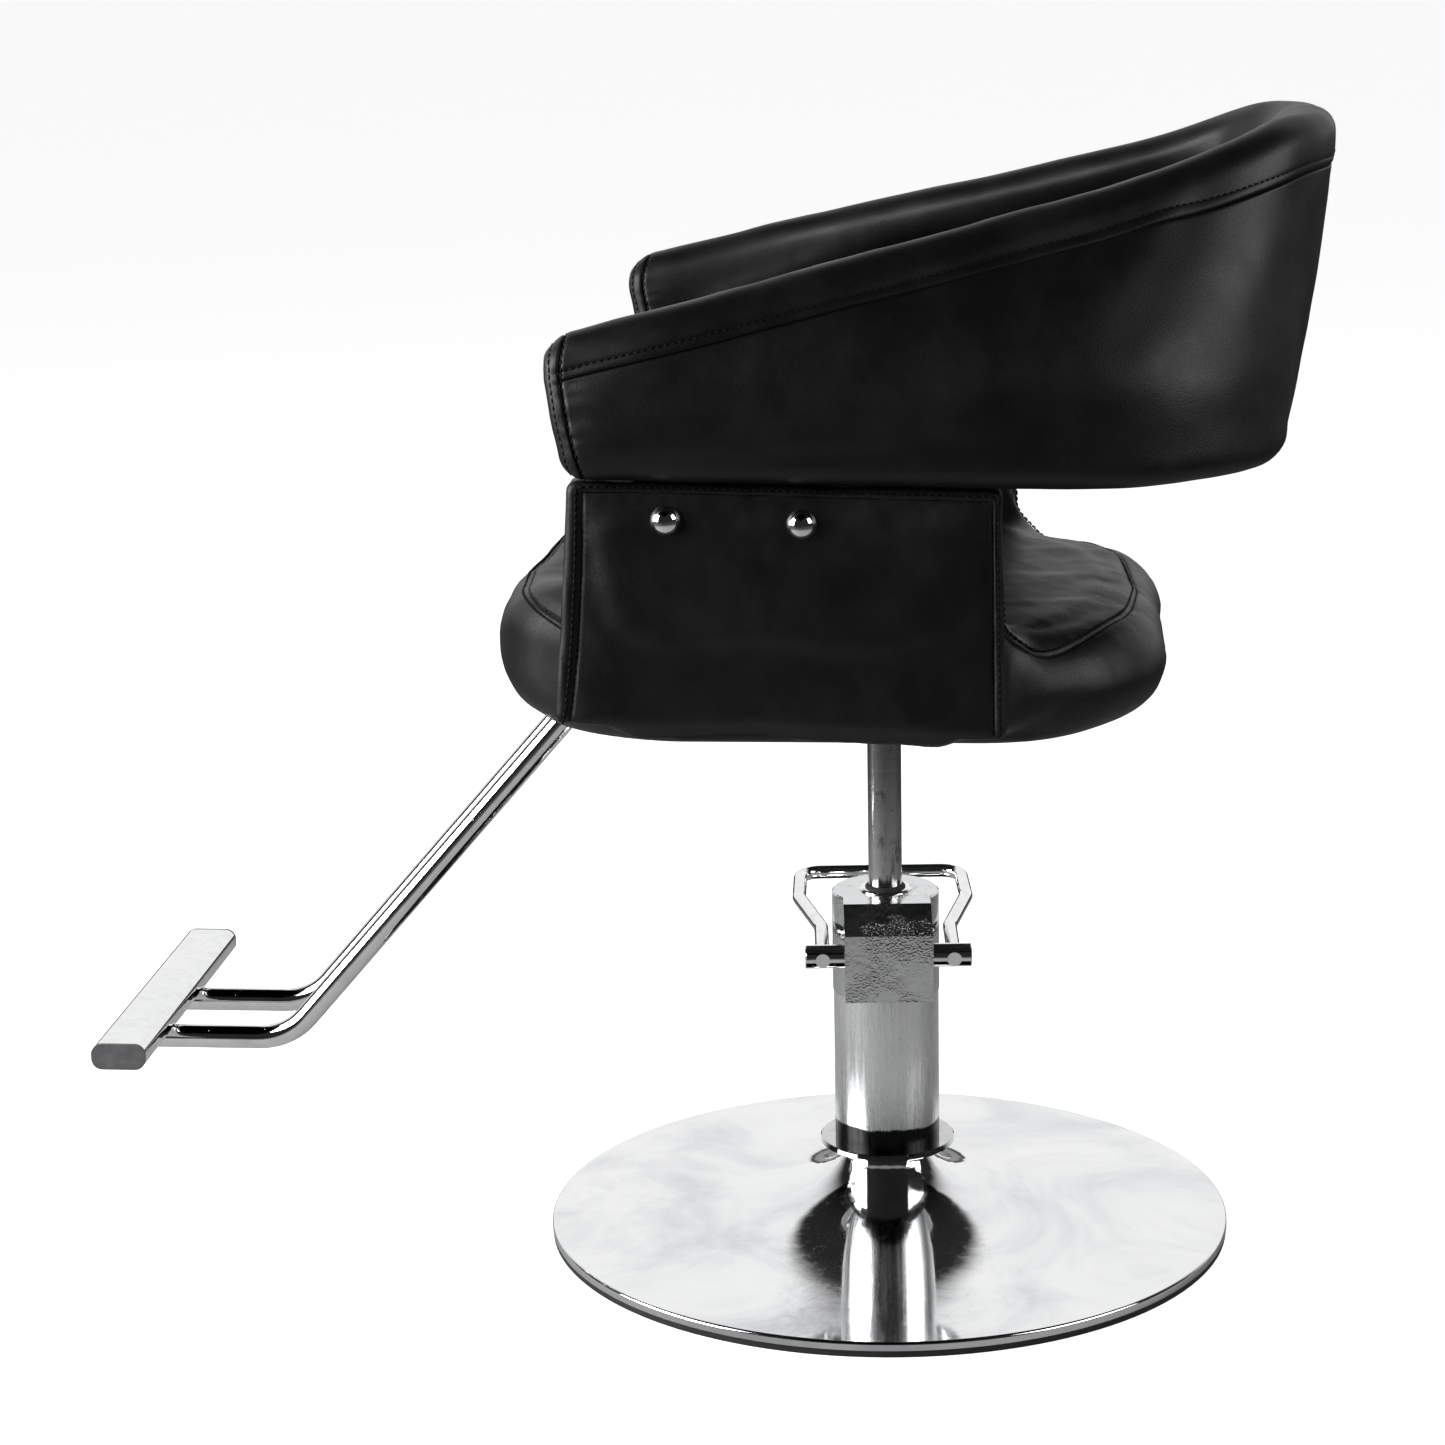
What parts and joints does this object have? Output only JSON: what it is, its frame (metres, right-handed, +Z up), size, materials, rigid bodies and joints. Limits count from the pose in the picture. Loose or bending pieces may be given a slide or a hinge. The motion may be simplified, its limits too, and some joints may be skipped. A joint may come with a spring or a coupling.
{
  "type": "styling chair",
  "caption": "Salon styling chair: black padded seat with a wrap-round back, on a round chromed base with a foot-pumped lift and a footrest.",
  "frame": {"origin": "on the floor, on the pump's axis", "axes": "+Z up, -Y to the chair's front where the footrest is, +X to the sitter's left where the pump's lever block is"},
  "size_m": [0.594, 1.0196, 0.951],
  "materials": {
    "chrome_polished": "polished chrome plate",
    "chrome_satin": "dull, lightly brushed chrome plate",
    "cast_chrome": "chromed casting, rough in places",
    "bare_steel": "ground bare steel, a little stained",
    "plain_steel": "zinc-plated steel",
    "painted_steel": "satin black paint",
    "bronze": "sintered bronze",
    "rubber": "matt black rubber",
    "cap_plastic": "dark grey moulded plastic",
    "plywood": "raw plywood",
    "dust_cover": "black non-woven cloth",
    "upholstery": "black grained leather-like cover over foam, satin, black stitching"
  },
  "bodies": {
    "base": {"base_shell": "chrome_polished", "base_rubber_ring": "rubber", "base_plate": "painted_steel", "base_hub": "painted_steel", "hub_screws": "plain_steel", "centre_bolt": "plain_steel", "pump_foot": "chrome_polished", "pump_casing": "chrome_satin", "inner_cylinder": "plain_steel", "pump_head": "cast_chrome", "rod_guide_bush": "bronze", "gland_nut": "chrome_polished", "rod_wiper": "rubber", "shaft_bushes": "bronze", "plunger_barrel": "bronze", "plunger_spring": "plain_steel"},
    "pedal": {"lever_shaft": "chrome_polished", "pedal_loop": "chrome_polished", "pedal_set_screws": "plain_steel", "lever_crank": "plain_steel", "crank_pin": "plain_steel"},
    "plunger": {"pump_plunger": "bare_steel"},
    "piston": {"piston": "plain_steel", "piston_seal": "rubber", "thrust_washer": "bronze"},
    "seat": {"back_band_pad": "upholstery", "back_shell": "plywood", "footrest_bar": "chrome_polished", "footrest_bolts": "plain_steel", "footrest_plate": "painted_steel", "left_arm_strap": "painted_steel", "left_bar_cap": "cap_plastic", "left_bracket_screws": "plain_steel", "left_dome_bolts": "chrome_polished", "left_dome_nuts": "plain_steel", "left_footrest_tube": "chrome_polished", "left_seat_bracket": "painted_steel", "left_strap_screws": "plain_steel", "left_wing_core": "plywood", "left_wing_pad": "upholstery", "mounting_plate": "painted_steel", "piston_rod": "bare_steel", "plate_bolts": "plain_steel", "right_arm_strap": "painted_steel", "right_bar_cap": "cap_plastic", "right_bracket_screws": "plain_steel", "right_dome_bolts": "chrome_polished", "right_dome_nuts": "plain_steel", "right_footrest_tube": "chrome_polished", "right_seat_bracket": "painted_steel", "right_strap_screws": "plain_steel", "right_wing_core": "plywood", "right_wing_pad": "upholstery", "seat_board": "plywood", "seat_cushion": "upholstery", "taper_socket": "painted_steel", "under_cover": "dust_cover"}
  },
  "joints": [
    {"name": "lift_slide", "type": "slide", "parent": "base", "child": "piston", "axis": [0, 0, 1], "range_m": [-0.115, 0.01]},
    {"name": "seat_swivel", "type": "hinge", "parent": "piston", "child": "seat", "pos_m": [0, 0, 0.3], "axis": [0, 0, 1], "continuous": true},
    {"name": "pedal_hinge", "type": "hinge", "parent": "base", "child": "pedal", "pos_m": [0.06475, 0.00567, 0.26], "axis": [0.0872, -0.9962, 0], "range_deg": [0, 22], "stiffness_Nm_per_rad": 4, "springref_deg": -28.65},
    {"name": "plunger_slide", "type": "slide", "parent": "base", "child": "plunger", "axis": [0, 0, -1], "range_m": [0, 0.0125], "deforming": ["plunger_spring"]}
  ],
  "couplings": [
    {"joint": "plunger_slide", "follows": "pedal_hinge", "m_per_rad": 0.03195}
  ]
}
